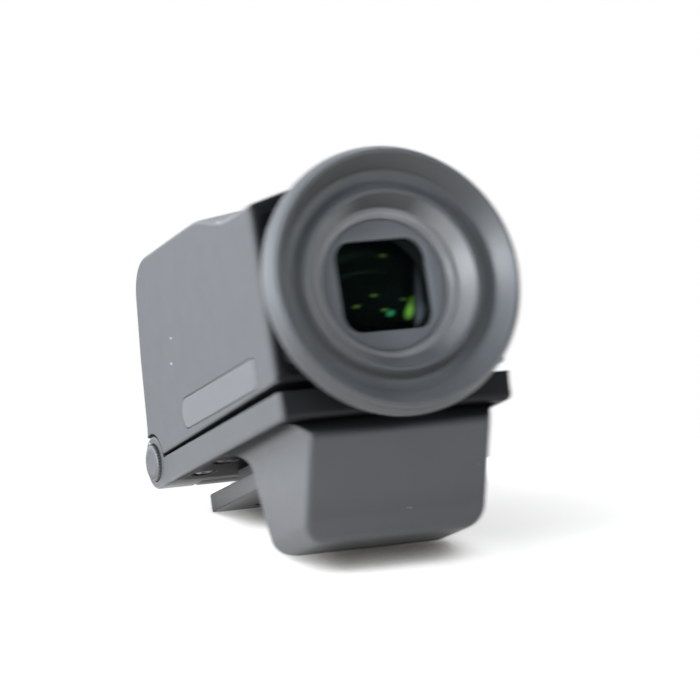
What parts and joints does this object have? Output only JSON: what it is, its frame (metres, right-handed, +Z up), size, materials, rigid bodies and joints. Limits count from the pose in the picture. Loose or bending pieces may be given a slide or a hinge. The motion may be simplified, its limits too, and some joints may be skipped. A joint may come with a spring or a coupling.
{
  "type": "clip-on electronic viewfinder",
  "caption": "Tilting eye-level viewfinder block with a round rubber eyecup, a hinged base arm, a shoe foot and a rear plug box that clips onto a camera.",
  "frame": {"origin": "centre of the shoe foot's underside", "axes": "+Z up, +Y from the user's eye towards the hinge (the way the foot slides into the shoe), +X to the user's right"},
  "size_m": [0.028, 0.0477, 0.0388],
  "materials": {
    "housing": "fine-textured charcoal plastic",
    "base_plastic": "fine-textured charcoal plastic",
    "cover_plastic": "fine-textured black plastic",
    "inlay_plastic": "smooth satin dark grey plastic",
    "cup_rubber": "soft matte black rubber",
    "ring_plastic": "satin black plastic",
    "mask_plastic": "satin dark grey plastic",
    "optics_plastic": "flocked matte black plastic",
    "lens_glass": "coated optical glass with green reflections",
    "foot_metal": "black anodised and fine-blasted",
    "steel": "turned steel",
    "screw_steel": "black oxide",
    "cap_metal": "black anodised with a coin edge",
    "plug_metal": "nickel-plated pressed steel",
    "contact_gold": "gold plated",
    "bush_bronze": "sintered bronze",
    "board": "green solder mask",
    "chip": "black epoxy",
    "flex": "amber polyimide film",
    "panel": "dark display glass",
    "light_guide": "white light guide"
  },
  "bodies": {
    "base": {"base_arm": "base_plastic", "arm_cover": "cover_plastic", "arm_cover_screws": "screw_steel", "foot_pedestal": "cover_plastic", "shoe_foot": "foot_metal", "foot_screws": "steel", "box_shell": "base_plastic", "box_front_cover": "cover_plastic", "box_cover_screws": "screw_steel", "plug_shell": "plug_metal", "plug_tongue": "chip", "plug_contacts": "contact_gold", "plug_board": "board", "arm_flex": "flex", "hinge_shaft": "steel", "hinge_caps": "cap_metal", "wave_washers": "steel"},
    "head": {"head_housing": "housing", "rear_cover": "cover_plastic", "rear_cover_screws": "screw_steel", "side_inlays": "inlay_plastic", "lens_tube": "optics_plastic", "tube_screws": "screw_steel", "display_frame": "optics_plastic", "display_panel": "panel", "backlight": "light_guide", "display_board": "board", "board_chips": "chip", "board_screws": "screw_steel", "head_flex": "flex", "hinge_bushes": "bush_bronze"},
    "dioptre": {"dioptre_ring": "ring_plastic", "ring_clip": "steel", "eyecup": "cup_rubber"},
    "lens_group": {"lens_cell": "optics_plastic", "eyepiece_mask": "mask_plastic", "window_glass": "lens_glass", "eye_lens": "lens_glass", "second_lens": "lens_glass", "third_lens": "lens_glass", "lens_spacers": "optics_plastic", "lens_retainer": "optics_plastic"}
  },
  "joints": [
    {"name": "head_tilt", "type": "hinge", "parent": "base", "child": "head", "pos_m": [0, 0.0137, 0.00695], "axis": [-1, 0, 0], "range_deg": [0, 90]},
    {"name": "dioptre_turn", "type": "hinge", "parent": "head", "child": "dioptre", "pos_m": [0, -0.0257, 0.0168], "axis": [0, 1, 0], "range_deg": [-60, 60]},
    {"name": "dioptre_slide", "type": "slide", "parent": "head", "child": "lens_group", "axis": [0, 1, 0], "range_m": [-0.001, 0.001]}
  ],
  "couplings": [
    {"joint": "dioptre_slide", "follows": "dioptre_turn", "m_per_rad": 0.00095}
  ]
}
